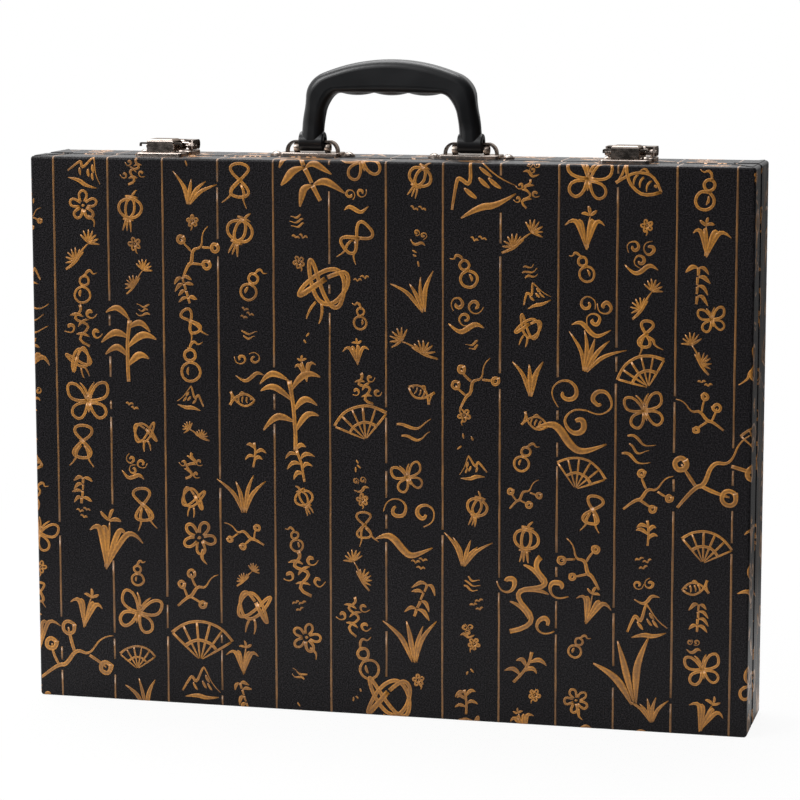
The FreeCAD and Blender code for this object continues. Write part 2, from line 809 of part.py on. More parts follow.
nodes["lid_hinge_screws"] = Part.makeCompound(lid_hinge_screws)
nodes["base_hinge_screws"] = Part.makeCompound(base_hinge_screws)
nodes["bracket_screws"] = Part.makeCompound(all_bracket_screws)
nodes["strike_screws"] = Part.makeCompound(all_strike_screws)
nodes["latch_plate_screws"] = Part.makeCompound(all_plate_screws)
for prefix, shell in (("lid_", lid), ("base_", base)):
    for piece, shape in shell.items():
        nodes[prefix + piece] = shape

for name, shape in sorted(nodes.items()):
    if not shape.isValid():
        raise ValueError(name + " is not a valid shape")
    shape.exportStep("parts/" + name + ".step")
    print(name, len(shape.Solids), "solids", round(shape.Volume, 1), "mm3")
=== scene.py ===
import json
import math
import random

import bpy
from mathutils import Matrix, Vector, noise


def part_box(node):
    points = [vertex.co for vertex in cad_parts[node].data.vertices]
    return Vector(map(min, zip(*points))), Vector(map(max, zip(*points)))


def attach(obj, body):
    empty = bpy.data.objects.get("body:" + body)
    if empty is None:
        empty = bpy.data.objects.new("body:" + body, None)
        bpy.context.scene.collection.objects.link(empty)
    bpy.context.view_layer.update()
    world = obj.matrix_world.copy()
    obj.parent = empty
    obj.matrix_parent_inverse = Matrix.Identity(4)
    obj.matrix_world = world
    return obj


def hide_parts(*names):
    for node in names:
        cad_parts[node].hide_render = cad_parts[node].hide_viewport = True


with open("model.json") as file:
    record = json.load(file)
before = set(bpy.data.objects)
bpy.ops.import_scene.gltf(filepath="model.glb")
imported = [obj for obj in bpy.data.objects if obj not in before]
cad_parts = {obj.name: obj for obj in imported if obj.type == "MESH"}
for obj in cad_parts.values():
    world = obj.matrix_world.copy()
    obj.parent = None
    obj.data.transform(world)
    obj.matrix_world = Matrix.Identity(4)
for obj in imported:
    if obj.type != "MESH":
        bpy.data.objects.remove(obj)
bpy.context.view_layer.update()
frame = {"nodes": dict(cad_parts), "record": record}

mm = 0.001

# The case, read from the frame, in metres
lid_low, lid_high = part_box("lid_covering")
base_low, base_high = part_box("base_covering")
half_width = lid_high.x
case_top = lid_high.z
front_y = lid_low.y
back_y = base_high.y
face_edge_radius = 1.5 * mm
corner_cut = 2.2 * mm
seam_bevel = 3.2 * mm

# The thin upright lines of the print, in millimetres
first_line = -229.0
line_pitch = 33.0
line_width = 1.2
line_sway = 0.09
line_clearance = 1.4
line_shortest = 4
line_step = 9

# The brush motifs of the print, in millimetres
large_sizes = (36, 50)
large_motif_count = 13
large_motif_tries = 500
large_margin = 20
large_gap = 22
column_sizes = (9, 10, 16, 19, 21, 23, 25, 27)
column_start = (2, 12)
column_end = 8
column_sway = 4.5
column_gap = (1, 8)
column_step = 3
middle_from = 12
large_from = 30
thinnest_brush = 1.1
thinnest_stroke = 0.45

# The ink on the sheet
print_height = 0.2 * mm
print_end_gap = 0.6 * mm
print_merge = 0.002 * mm

# The velvet linings and dividers
lining_fold_radius = 2.2 * mm
lining_step = 12 * mm
lining_wall_step = 3 * mm
lining_held_width = 12 * mm
lining_looseness = 0.9 * mm
lining_wide_swell = 45 * mm
lining_small_swell = 16 * mm
lining_thickness = 0.8 * mm
divider_edge = 1.1 * mm
divider_step = 8 * mm
divider_swell = 22 * mm
divider_dent = 0.16 * mm
divider_deepest_dent = 0.12 * mm

# The collars beside the feet of the handle
foot_half_length = 7.25 * mm
collar_gap = 0.3 * mm
collar_length = 3.2 * mm
collar_radius = 2.8 * mm
collar_wall = 0.55 * mm
collar_bore_depth = 0.35 * mm
collar_edge = 0.18 * mm
loop_strip = 1.2 * mm

# The folded corners of the sheet
corner_flat = 2.0 * mm
lap_reach = 14 * mm
lap_taper = 1.5 * mm
lap_end_gap = 0.4 * mm
lap_thickness = 0.35 * mm
lap_sunk = 0.1 * mm
lap_edge = 0.12 * mm
lap_unevenness = 0.05 * mm


# Materials

def srgb(code):
    """Linear colour of an sRGB hex value such as "8A6A45"."""
    channels = [int(code[i:i + 2], 16) / 255 for i in (0, 2, 4)]
    return [c / 12.92 if c <= 0.04045 else ((c + 0.055) / 1.055) ** 2.4 for c in channels] + [1.0]


def add(tree, kind, inputs=None, **settings):
    """One node with its settings, its values and the links into it."""
    made = tree.nodes.new(kind)
    for name, value in settings.items():
        setattr(made, name, value)
    for socket, value in (inputs or {}).items():
        if isinstance(value, bpy.types.NodeSocket):
            tree.links.new(value, made.inputs[socket])
        else:
            made.inputs[socket].default_value = value
    return made


def start_material(name):
    material = bpy.data.materials.new(name)
    material.use_nodes = True
    tree = material.node_tree
    tree.nodes.clear()
    place = add(tree, "ShaderNodeTexCoord").outputs["Object"]
    return material, tree, place


def end_material(tree, **inputs):
    named = {name.replace("_", " "): value for name, value in inputs.items()}
    shader = add(tree, "ShaderNodeBsdfPrincipled", named)
    add(tree, "ShaderNodeOutputMaterial", {"Surface": shader.outputs[0]})


def leatherette():
    """Black coated paper, calendered with a fine pebble grain: a dull black with tiny light specks."""
    material, tree, place = start_material("embossed_black_leatherette")
    # The real grain is about 0.5 mm wide, too fine to show, and is drawn a little coarser
    grain_width = 0.75 * mm
    pebbles = add(tree, "ShaderNodeTexVoronoi", {"Vector": place, "Scale": 1 / grain_width})
    fine = add(tree, "ShaderNodeTexNoise", {"Vector": place, "Scale": 1 / grain_width, "Detail": 2.0})
    broad = add(tree, "ShaderNodeTexNoise", {"Vector": place, "Scale": 1 / (60 * mm), "Detail": 2.0})
    tone = add(tree, "ShaderNodeValToRGB", {"Fac": fine.outputs[0]})
    tone.color_ramp.elements[0].position = 0.42
    tone.color_ramp.elements[0].color = srgb("030304")
    tone.color_ramp.elements[1].position = 0.66
    tone.color_ramp.elements[1].color = srgb("322F32")
    share = add(tree, "ShaderNodeMapRange", {"Value": broad.outputs[0], "To Min": 0.0, "To Max": 0.5})
    worn = add(tree, "ShaderNodeMix", {"Factor": share.outputs[0], 6: tone.outputs[0], 7: srgb("0C0C0F")},
               data_type="RGBA")
    dull = add(tree, "ShaderNodeMapRange", {"Value": fine.outputs[0], "From Min": 0.3, "From Max": 0.7,
                                            "To Min": 0.42, "To Max": 0.28})
    relief = add(tree, "ShaderNodeMath", {0: pebbles.outputs["Distance"], 1: fine.outputs[0]},
                 operation="ADD")
    bump = add(tree, "ShaderNodeBump", {"Height": relief.outputs[0], "Strength": 0.7, "Distance": 0.09 * mm})
    end_material(tree, Base_Color=worn.outputs[2], Roughness=dull.outputs[0], Specular_IOR_Level=0.16,
                 IOR=1.5, Normal=bump.outputs[0])
    return material


def gold_ink(name, light, dark):
    """Ochre gold ink, screen printed over the grain: a soft gleam, with painted highlight along the rims of a
    stroke and painted shade along its middle.
    """
    material, tree, place = start_material(name)
    across = add(tree, "ShaderNodeAttribute", attribute_name="across").outputs["Fac"]
    cover = add(tree, "ShaderNodeTexNoise", {"Vector": place, "Scale": 1 / (1.1 * mm), "Detail": 4.0})
    cloud = add(tree, "ShaderNodeTexNoise", {"Vector": place, "Scale": 1 / (14 * mm), "Detail": 1.0})
    blend = add(tree, "ShaderNodeMath", {0: cover.outputs[0], 1: cloud.outputs[0]}, operation="MULTIPLY")
    tone = add(tree, "ShaderNodeValToRGB", {"Fac": blend.outputs[0]})
    tone.color_ramp.elements[0].position = 0.12
    tone.color_ramp.elements[0].color = srgb(dark)
    tone.color_ramp.elements[1].position = 0.36
    tone.color_ramp.elements[1].color = srgb(light)
    # Painted highlight and painted shade: the colour is dimmed along the middle of each stroke and lifted at
    # its rims, standing in for light on the raised ink
    rim = add(tree, "ShaderNodeMapRange", {"Value": across, "From Min": 0.3, "From Max": 0.8, "To Min": 0.7,
                                           "To Max": 1.1})
    rim_lit_tone = add(tree, "ShaderNodeMix", {"Factor": 1.0, 6: tone.outputs[0], 7: rim.outputs[0]},
                data_type="RGBA", blend_type="MULTIPLY")
    bump = add(tree, "ShaderNodeBump", {"Height": cover.outputs[0], "Strength": 0.5, "Distance": 0.05 * mm})
    end_material(tree, Base_Color=rim_lit_tone.outputs[2], Metallic=0.25, Roughness=0.42, Coat_Weight=0.8,
                 Coat_Roughness=0.3, Normal=bump.outputs[0])
    return material


def plated_steel(name, tint, roughness, scratch_length):
    """Nickel over pressed steel: warm grey reflections, softened by fine rubbing marks."""
    material, tree, place = start_material(name)
    rubbed = add(tree, "ShaderNodeMapping", {"Vector": place, "Scale": (1.0, 2.0, 2.0)})
    marks = add(tree, "ShaderNodeTexNoise", {"Vector": rubbed.outputs[0], "Scale": 1 / scratch_length,
                                             "Detail": 1.0})
    smudge = add(tree, "ShaderNodeTexNoise", {"Vector": place, "Scale": 1 / (5 * mm), "Detail": 2.0})
    both = add(tree, "ShaderNodeMath", {0: marks.outputs[0], 1: smudge.outputs[0]}, operation="MULTIPLY")
    rough = add(tree, "ShaderNodeMapRange", {"Value": both.outputs[0], "From Min": 0.15, "From Max": 0.4,
                                             "To Min": roughness * 0.8, "To Max": roughness * 1.5})
    tone = add(tree, "ShaderNodeMix", {"Factor": smudge.outputs[0], 6: srgb(tint), 7: srgb("857870")},
               data_type="RGBA")
    bump = add(tree, "ShaderNodeBump", {"Height": marks.outputs[0], "Strength": 0.06, "Distance": 0.02 * mm})
    end_material(tree, Base_Color=tone.outputs[2], Metallic=1.0, Roughness=rough.outputs[0],
                 Specular_Tint=srgb("B9B0A8"), Normal=bump.outputs[0])
    return material


def moulded_plastic():
    """Black polypropylene out of a satin mould: even, deep black with soft broad highlights."""
    material, tree, place = start_material("moulded_black_polypropylene")
    spark = add(tree, "ShaderNodeTexNoise", {"Vector": place, "Scale": 1 / (0.35 * mm), "Detail": 3.0})
    flow = add(tree, "ShaderNodeTexNoise", {"Vector": place, "Scale": 1 / (22 * mm), "Detail": 2.0})
    tone = add(tree, "ShaderNodeMix", {"Factor": flow.outputs[0], 6: srgb("0B0C0E"), 7: srgb("191A1D")},
               data_type="RGBA")
    rough = add(tree, "ShaderNodeMapRange", {"Value": flow.outputs[0], "From Min": 0.3, "From Max": 0.7,
                                             "To Min": 0.3, "To Max": 0.38})
    bump = add(tree, "ShaderNodeBump", {"Height": spark.outputs[0], "Strength": 0.2, "Distance": 0.02 * mm})
    end_material(tree, Base_Color=tone.outputs[2], Roughness=rough.outputs[0], IOR=1.49,
                 Normal=bump.outputs[0])
    return material


def velvet():
    """Wine red flocked velvet: short pile that shades from deep red to a pale bloom at the turn."""
    material, tree, place = start_material("flocked_red_velvet")
    pile = add(tree, "ShaderNodeTexNoise", {"Vector": place, "Scale": 1 / (0.6 * mm), "Detail": 4.0})
    brushed = add(tree, "ShaderNodeTexNoise", {"Vector": place, "Scale": 1 / (35 * mm), "Detail": 3.0,
                                               "Distortion": 0.4})
    both = add(tree, "ShaderNodeMath", {0: pile.outputs[0], 1: brushed.outputs[0]}, operation="MULTIPLY")
    tone = add(tree, "ShaderNodeValToRGB", {"Fac": both.outputs[0]})
    tone.color_ramp.elements[0].position = 0.08
    tone.color_ramp.elements[0].color = srgb("520D14")
    tone.color_ramp.elements[1].position = 0.46
    tone.color_ramp.elements[1].color = srgb("84181F")
    bump = add(tree, "ShaderNodeBump", {"Height": both.outputs[0], "Strength": 0.8, "Distance": 0.25 * mm})
    end_material(tree, Base_Color=tone.outputs[0], Roughness=0.9, Specular_IOR_Level=0.2, Sheen_Weight=0.7,
                 Sheen_Roughness=0.4, Sheen_Tint=srgb("C7636C"), Normal=bump.outputs[0])
    return material


def fibreboard():
    """Sawn wood fibre board: warm brown, flecked with darker and lighter fibres."""
    material, tree, place = start_material("sawn_wood_fibreboard")
    long = add(tree, "ShaderNodeMapping", {"Vector": place, "Scale": (1.0, 4.0, 4.0)})
    fibres = add(tree, "ShaderNodeTexNoise", {"Vector": long.outputs[0], "Scale": 1 / (2.5 * mm),
                                              "Detail": 6.0})
    tone = add(tree, "ShaderNodeValToRGB", {"Fac": fibres.outputs[0]})
    tone.color_ramp.elements[0].position = 0.3
    tone.color_ramp.elements[0].color = srgb("6E4F33")
    tone.color_ramp.elements[1].position = 0.7
    tone.color_ramp.elements[1].color = srgb("B08D63")
    bump = add(tree, "ShaderNodeBump", {"Height": fibres.outputs[0], "Strength": 0.4, "Distance": 0.1 * mm})
    end_material(tree, Base_Color=tone.outputs[0], Roughness=0.85, Normal=bump.outputs[0])
    return material


finishes = {
    "leatherette": leatherette(),
    "fibreboard": fibreboard(),
    "velvet": velvet(),
    "nickel_steel": plated_steel("nickel_plated_pressed_steel", "CFC4BC", 0.2, 3 * mm),
    "hinge_steel": plated_steel("nickel_plated_hinge_steel", "BFB4A9", 0.3, 2 * mm),
    "pin_steel": plated_steel("drawn_steel_wire", "B8B0AA", 0.28, 6 * mm),
    "screw_steel": plated_steel("nickel_plated_screw_steel", "D3C9C1", 0.24, 1 * mm),
    "black_plastic": moulded_plastic(),
}
gold = gold_ink("screen_printed_gold_ink", "C6842A", "8E5C1E")
thin_gold = gold_ink("thin_printed_gold_line", "98682F", "6A4721")

slot_of = {part["node"]: part["material_slot"] for part in frame["record"]["subparts"]}


def new_object(name, data):
    thing = bpy.data.objects.new(name, data)
    bpy.context.scene.collection.objects.link(thing)
    return thing


def paint(thing, material):
    thing.data.materials.clear()
    thing.data.materials.append(material)


for node_name, thing in frame["nodes"].items():
    paint(thing, finishes[slot_of[node_name]])


def select_only(thing):
    bpy.ops.object.select_all(action="DESELECT")
    thing.select_set(True)
    bpy.context.view_layer.objects.active = thing


# The motifs of the print, each a list of strokes in a square from -0.5 to 0.5

def pressed(t):
    """Laid down full, lifted at the end."""
    return 0.55 + 0.75 * math.sin(math.pi * min(1, 0.15 + t)) ** 2 - 0.25 * t


def swelling(t):
    """Pointed, full in the middle, pointed."""
    return 0.3 + 1.55 * math.sin(math.pi * t ** 0.8)


def even(t):
    """The same width all along, with a small blot at the end."""
    return 1.0 if t < 0.9 else 1.3


def ring(x, y, radius, start=0.0, sweep=6.7, count=10, grow=0.0, flat=1.0):
    """Points round a circle or an arc, or a spiral where it grows."""
    points = []
    for index in range(count):
        t = index / (count - 1)
        reach = radius + grow * t
        angle = start + sweep * t
        points.append((x + reach * math.cos(angle), y + flat * reach * math.sin(angle)))
    return points


def mirrored(points):
    return [(-x, y) for x, y in points]


def leaf_sprig(rng):
    """A bent stem with pointed leaves to both sides."""
    bend = rng.uniform(-0.16, 0.16)
    strokes = [(even, [(bend * math.sin(0.44 * i), -0.5 + 0.18 * i) for i in range(6)])]
    side = rng.choice((-1, 1))
    for index in range(rng.choice((4, 5, 6))):
        t = 0.25 + 0.15 * index
        x, y = bend * math.sin(2.2 * t), -0.5 + 0.9 * t
        reach, rise = side * rng.uniform(0.28, 0.44), rng.uniform(-0.1, 0.22)
        strokes.append((swelling, [(x, y), (x + 0.3 * reach, y + 0.11 + 0.3 * rise),
                                   (x + 0.7 * reach, y + 0.12 + 0.7 * rise), (x + reach, y + rise)]))
        side = -side
    return strokes


def cloud_curls(rng):
    """Curls that run out into one trailing tail."""
    strokes = []
    places = [(-0.22, 0.12, 0.05), (0.2, 0.16, 0.04), (0.02, -0.2, 0.04)]
    for x, y, radius in places[:rng.choice((2, 3))]:
        sweep = rng.choice((-7.6, 7.6))
        strokes.append((pressed, ring(x, y, radius, rng.uniform(0, 6.3), sweep, 12, grow=0.17)))
    strokes.append((swelling, [(-0.46 + 0.15 * i, -0.42 + 0.12 * math.sin(1.2 * i)) for i in range(7)]))
    return strokes


def ribbon_loops(rng):
    """A ribbon thrown into two long loops, with its ends hanging."""
    tilt = rng.uniform(-0.5, 0.5)
    wide = rng.uniform(0.14, 0.22)
    loop = []
    for index in range(17):
        angle = 0.4 * index
        x, y = wide * math.sin(2 * angle), 0.36 * math.sin(angle) + 0.08
        loop.append((x * math.cos(tilt) - y * math.sin(tilt), x * math.sin(tilt) + y * math.cos(tilt)))
    lean = rng.uniform(0.14, 0.32)
    tail = [(0.03, 0.0), (lean * 0.7, -0.14), (lean * 0.5, -0.3), (lean + 0.05, -0.47)]
    return [(even, loop), (pressed, tail), (pressed, mirrored(tail))]


def reeds(rng):
    """Blades of grass that fan from one foot."""
    strokes = []
    count = rng.choice((3, 4, 5))
    for index in range(count):
        aim = (index - (count - 1) / 2) * 0.24 + rng.uniform(-0.06, 0.06)
        height = rng.uniform(0.65, 0.98)
        strokes.append((swelling, [(0.12 * aim, -0.48), (0.3 * aim, -0.48 + 0.35 * height),
                                   (0.75 * aim, -0.48 + 0.72 * height), (1.5 * aim, -0.48 + height)]))
    return strokes


def blossom(rng):
    """Five open petals round a dab, on a short stalk."""
    strokes = []
    turn = rng.uniform(0, 1.2)
    for index in range(5):
        aim = turn + index * 2 * math.pi / 5
        petal = []
        for step in range(7):
            out, angle = 0.1 + 0.28 * math.sin(math.pi * step / 6), aim + 0.5 * math.cos(math.pi * step / 6)
            petal.append((out * math.cos(angle), 0.1 + out * math.sin(angle)))
        strokes.append((even, petal))
    strokes.append((pressed, [(0, -0.16), (0.07, -0.28), (0.09, -0.4), (0.02, -0.5)]))
    strokes.append((swelling, [(-0.04, 0.1), (0.0, 0.11), (0.05, 0.1)]))
    return strokes


def running_water(rng):
    """Waves, one under another."""
    strokes = []
    for index in range(rng.choice((2, 3))):
        shift, length = rng.uniform(0, 2), rng.uniform(0.6, 0.95)
        level = 0.28 - 0.28 * index
        strokes.append((pressed, [(length * (i / 7 - 0.5), level + 0.09 * math.sin(0.93 * i + shift))
                                  for i in range(8)]))
    return strokes


def gourd(rng):
    """Two rounds, one on the other, with a stalk and a tendril."""
    return [(even, ring(0, -0.22, 0.24, 1.5)), (even, ring(0, 0.17, 0.14, 1.5)),
            (pressed, [(0.0, 0.31), (0.02, 0.42), (0.14, 0.5), (0.22, 0.38), (0.33, 0.46)]),
            (swelling, [(-0.06, -0.3), (-0.1, -0.2), (-0.05, -0.1)])]


def seeds(rng):
    """A few loose dabs."""
    strokes = []
    for _ in range(rng.choice((2, 3, 4))):
        x, y = rng.uniform(-0.4, 0.4), rng.uniform(-0.4, 0.4)
        aim, reach = rng.uniform(0.6, 2.4), rng.uniform(0.2, 0.34)
        across, down = reach * math.cos(aim), -reach * math.sin(aim)
        strokes.append((swelling, [(x, y), (x + 0.5 * across, y + 0.45 * down), (x + across, y + down)]))
    return strokes


def bamboo(rng):
    """A jointed cane with drooping leaves."""
    lean = rng.uniform(-0.12, 0.12)
    strokes = []
    for index in range(4):
        foot, head = -0.5 + 0.25 * index, -0.29 + 0.25 * index
        strokes.append((even, [(lean * (foot + 0.5), foot), (lean * (head + 0.4), (foot + head) / 2),
                               (lean * (head + 0.5), head)]))
        for side in rng.sample((-1, 1), rng.choice((1, 2))):
            reach, fall = side * rng.uniform(0.26, 0.42), rng.uniform(0.06, 0.24)
            x = lean * (head + 0.5)
            strokes.append((swelling, [(x, head), (x + 0.4 * reach, head + 0.04),
                                       (x + 0.75 * reach, head - 0.4 * fall), (x + reach, head - fall)]))
    return strokes


def plum_branch(rng):
    """A crooked branch with twigs, buds and small open flowers."""
    strokes = [(pressed, [(-0.42, -0.5), (-0.25, -0.22), (-0.14, -0.2), (-0.08, 0.1), (0.14, 0.08),
                          (0.2, 0.42), (0.36, 0.5)])]
    ends = [((-0.24, -0.22), (-0.44, 0.02)), ((-0.1, 0.06), (-0.28, 0.34)), ((0.14, 0.08), (0.42, 0.02)),
            ((-0.16, -0.2), (0.16, -0.3))]
    for foot, tip in rng.sample(ends, 3):
        middle = ((foot[0] + tip[0]) / 2 + rng.uniform(-0.06, 0.06), (foot[1] + tip[1]) / 2)
        strokes.append((pressed, [foot, middle, tip]))
        strokes.append((even, ring(tip[0], tip[1], rng.uniform(0.06, 0.1), 0.5, count=8)))
    return strokes


def flying_birds(rng):
    """Far off birds, each two wing strokes."""
    strokes = []
    for x, y in ((-0.22, 0.26), (0.2, 0.1), (-0.1, -0.24))[:rng.choice((2, 3))]:
        dip = rng.uniform(0.0, 0.1)
        strokes.append((swelling, [(x - 0.24, y), (x - 0.12, y + 0.16), (x, y - dip)]))
        strokes.append((swelling, [(x, y - dip), (x + 0.1, y + 0.18), (x + 0.26, y + 0.05)]))
    return strokes


def fish(rng):
    """A fish in outline, with gill, scales and a forked tail."""
    back = [(-0.46, 0.0), (-0.22, 0.26), (0.16, 0.16), (0.36, -0.06), (0.46, -0.24)]
    belly = [(x, -y) for x, y in back]
    strokes = [(even, back), (even, belly), (pressed, [(0.46, 0.24), (0.36, 0.03), (0.46, -0.24)])]
    for x in (-0.18, -0.02, 0.12):
        strokes.append((pressed, [(x, 0.12), (x + 0.07, 0.0), (x, -0.12)]))
    strokes.append((swelling, [(-0.34, 0.03), (-0.31, 0.06), (-0.28, 0.04)]))
    strokes.append((pressed, [(-0.08, 0.19), (0.04, 0.38), (0.14, 0.17)]))
    return strokes


def lantern(rng):
    """A round paper lantern with ribs and a tassel."""
    strokes = [(even, ring(0, 0.06, 0.3, 1.5, flat=0.8)), (even, ring(0, 0.06, 0.12, 1.5, flat=2.0)),
               (pressed, [(-0.15, 0.32), (0, 0.34), (0.15, 0.32)]),
               (pressed, [(-0.13, -0.2), (0, -0.22), (0.13, -0.2)]),
               (pressed, [(0, 0.33), (0.02, 0.42), (0.1, 0.49)])]
    for x in (-0.07, 0.0, 0.08):
        strokes.append((pressed, [(x * 0.6, -0.22), (x + rng.uniform(-0.02, 0.02), -0.34), (x * 1.4, -0.48)]))
    return strokes


def folding_fan(rng):
    """An open folding fan."""
    foot_y = -0.4
    strokes = [(even, ring(0, foot_y, 0.86, 0.65, 1.85, 8)), (even, ring(0, foot_y, 0.45, 0.65, 1.85, 6))]
    for index in range(6):
        angle = 0.65 + 0.37 * index
        rib = [(r * math.cos(angle), foot_y + r * math.sin(angle)) for r in (0.84, 0.45, 0.05)]
        strokes.append((pressed, rib))
    return strokes


def butterfly(rng):
    """Four wing loops, a body and feelers."""
    upper = [(0.02, 0.02), (0.14, 0.36), (0.46, 0.44), (0.46, 0.1), (0.18, 0.0), (0.02, 0.02)]
    lower = [(0.02, -0.02), (0.3, -0.02), (0.42, -0.26), (0.24, -0.42), (0.06, -0.24), (0.02, -0.02)]
    feeler = [(0.01, 0.14), (0.05, 0.3), (0.16, 0.42)]
    strokes = [(swelling, [(0, 0.16), (0.01, -0.04), (0, -0.24)])]
    for shape, pressure in ((upper, even), (lower, even), (feeler, pressed)):
        strokes += [(pressure, shape), (pressure, mirrored(shape))]
    return strokes


def hills(rng):
    """A ridge of steep hills with a few shading strokes and mist below."""
    strokes = [(pressed, [(-0.5, -0.2), (-0.3, 0.12), (-0.22, 0.2), (-0.12, -0.02), (0.06, 0.44), (0.12, 0.4),
                          (0.3, -0.04), (0.5, -0.22)])]
    for x, y in ((-0.2, 0.02), (0.12, 0.22), (0.18, 0.02), (0.04, 0.08)):
        strokes.append((swelling, [(x, y), (x + 0.03, y - 0.1), (x + 0.1, y - 0.2)]))
    strokes.append((swelling, [(-0.42, -0.36), (-0.1, -0.3), (0.12, -0.4), (0.46, -0.34)]))
    return strokes


def vine(rng):
    """A winding stem with curled tendrils and leaves."""
    stem = [(0.05, -0.5), (-0.28, -0.28), (0.26, -0.04), (-0.22, 0.22), (0.12, 0.36), (0.06, 0.5)]
    strokes = [(even, stem if rng.random() < 0.5 else mirrored(stem))]
    for x, y, side in ((-0.1, -0.28, -1), (0.1, 0.0, 1), (-0.08, 0.2, -1)):
        tendril = ring(x + side * 0.2, y + 0.04, 0.03, 1.57 - side * 1.57, side * 6.0, 9, grow=0.12)
        strokes.append((pressed, tendril))
        strokes.append((swelling, [(x, y), (x - side * 0.12, y + 0.14), (x - side * 0.3, y + 0.12)]))
    return strokes


def corded_knot(rng):
    """An interlaced cord knot with two tassels."""
    knot = [(0.34 * math.sin(0.5 * i), 0.3 * math.sin(0.75 * i + 0.4) + 0.12) for i in range(26)]
    tassel = [(0.05, -0.16), (0.12, -0.3), (0.1, -0.48)]
    return [(even, knot), (pressed, tassel), (pressed, mirrored(tassel))]


def orchid(rng):
    """Long arching blades and one small flower."""
    strokes = []
    for aim in (-1.0, -0.5, 0.35, 0.8):
        aim += rng.uniform(-0.12, 0.12)
        strokes.append((swelling, [(0, -0.48), (0.12 * aim, -0.1), (0.3 * aim, 0.24),
                                   (0.5 * aim, 0.14 - 0.1 * abs(aim))]))
    strokes.append((pressed, [(0.02, -0.45), (0.0, 0.0), (0.05, 0.26)]))
    for aim in (0.3, 1.5, 2.7):
        strokes.append((swelling, [(0.05, 0.27), (0.05 + 0.1 * math.cos(aim), 0.3 + 0.13 * math.sin(aim)),
                                   (0.05 + 0.2 * math.cos(aim + 0.3), 0.28 + 0.2 * math.sin(aim + 0.3))]))
    return strokes


def pine_twig(rng):
    """Two fans of needles on a bent twig."""
    strokes = [(pressed, [(-0.4, -0.46), (-0.12, -0.3), (0.02, 0.0), (0.2, 0.14)])]
    for x, y, turn in ((-0.14, -0.26, 2.0), (0.2, 0.14, 1.1)):
        for index in range(7):
            angle = turn - 1.3 + 0.43 * index
            strokes.append((pressed, [(x, y), (x + 0.14 * math.cos(angle), y + 0.15 * math.sin(angle)),
                                      (x + 0.26 * math.cos(angle), y + 0.3 * math.sin(angle))]))
    return strokes


small_motifs = (seeds, running_water, flying_birds, cloud_curls, blossom)
middle_motifs = (leaf_sprig, cloud_curls, ribbon_loops, reeds, blossom, running_water, gourd, bamboo,
                 plum_branch, fish, lantern, folding_fan, butterfly, hills, vine, corded_knot, orchid,
                 pine_twig)
large_motifs = (ribbon_loops, reeds, leaf_sprig, cloud_curls, bamboo, plum_branch, orchid, vine,
                corded_knot, hills)


# The print, drawn flat and folded round the case

def add_motif(drawing, make, place, size, width, rng):
    """Puts one motif of that size, in millimetres, on the flat drawing as brush splines."""
    turn = rng.uniform(-0.45, 0.45)
    hand = rng.choice((-1, 1))
    shake = 0.15
    cosine, sine = math.cos(turn), math.sin(turn)
    for pressure, points in make(rng):
        spline = drawing.splines.new("NURBS")
        spline.points.add(len(points) - 1)
        load = rng.uniform(0.85, 1.15) * width
        for index, (x, y) in enumerate(points):
            x = hand * x * size + rng.uniform(-shake, shake) * width
            y = y * size + rng.uniform(-shake, shake) * width
            u = place[0] + x * cosine - y * sine
            v = place[1] + x * sine + y * cosine
            point = spline.points[index]
            point.co = (u * mm, v * mm, 0, 1)
            point.radius = max(load * pressure(index / (len(points) - 1)), thinnest_stroke)
        spline.order_u = 3
        spline.use_endpoint_u = True
        spline.resolution_u = 3 if size < large_from else 5


def flat_drawing(name):
    """An empty flat curve whose splines get a low ridge of ink as their section."""
    ridge = bpy.data.curves.new(name + "_section", "CURVE")
    ridge.dimensions = "2D"
    line = ridge.splines.new("POLY")
    line.points.add(4)
    outline = ((-0.5, -0.02), (-0.35, 0.038), (0, 0.032), (0.35, 0.038), (0.5, -0.02))
    for point, (x, y) in zip(line.points, outline):
        point.co = (x * mm, y * mm, 0, 1)
    line.use_cyclic_u = True
    section = new_object(name + "_section", ridge)
    drawing = bpy.data.curves.new(name, "CURVE")
    drawing.dimensions = "2D"
    drawing.bevel_mode = "OBJECT"
    drawing.bevel_object = section
    drawing.use_fill_caps = True
    return drawing, section


def place_motifs(half_u, half_v, rng):
    """Centres and sizes in millimetres: a few large motifs first, then columns between the lines."""
    taken = []
    spots = []

    def free(u, v, radius):
        return all(math.hypot(u - a, v - b) > radius + c for a, b, c in taken)

    def put(u, v, size):
        taken.append((u, v, 0.44 * size))
        spots.append((u, v, size))

    for _ in range(large_motif_tries):
        size = rng.uniform(*large_sizes)
        u = rng.uniform(-half_u + large_margin, half_u - large_margin)
        v = rng.uniform(-half_v + large_margin, half_v - large_margin)
        if len(spots) < large_motif_count and free(u, v, 0.5 * size + large_gap):
            put(u, v, size)
    column = first_line - line_pitch / 2
    while column < half_u:
        v = -half_v + rng.uniform(*column_start)
        while v < half_v - column_end:
            size = rng.choice(column_sizes)
            u = column + rng.uniform(-column_sway, column_sway)
            if free(u, v + size / 2, 0.42 * size):
                put(u, v + size / 2, size)
                v += size * 0.9 + rng.uniform(*column_gap)
            else:
                v += column_step
        column += line_pitch
    return spots


def draw_brushwork(drawing, spots, rng):
    """Gives each place a motif that suits its size, and none that came just before."""
    lately = []
    for u, v, size in spots:
        kinds = small_motifs
        if size > large_from:
            kinds = large_motifs
        elif size > middle_from:
            kinds = middle_motifs
        kinds = [make for make in kinds if make not in lately] or kinds
        make = rng.choice(kinds)
        lately = [make] + lately[:5]
        width = max(thinnest_brush, 0.6 + 0.05 * size)
        add_motif(drawing, make, (u, v), size, width, rng)


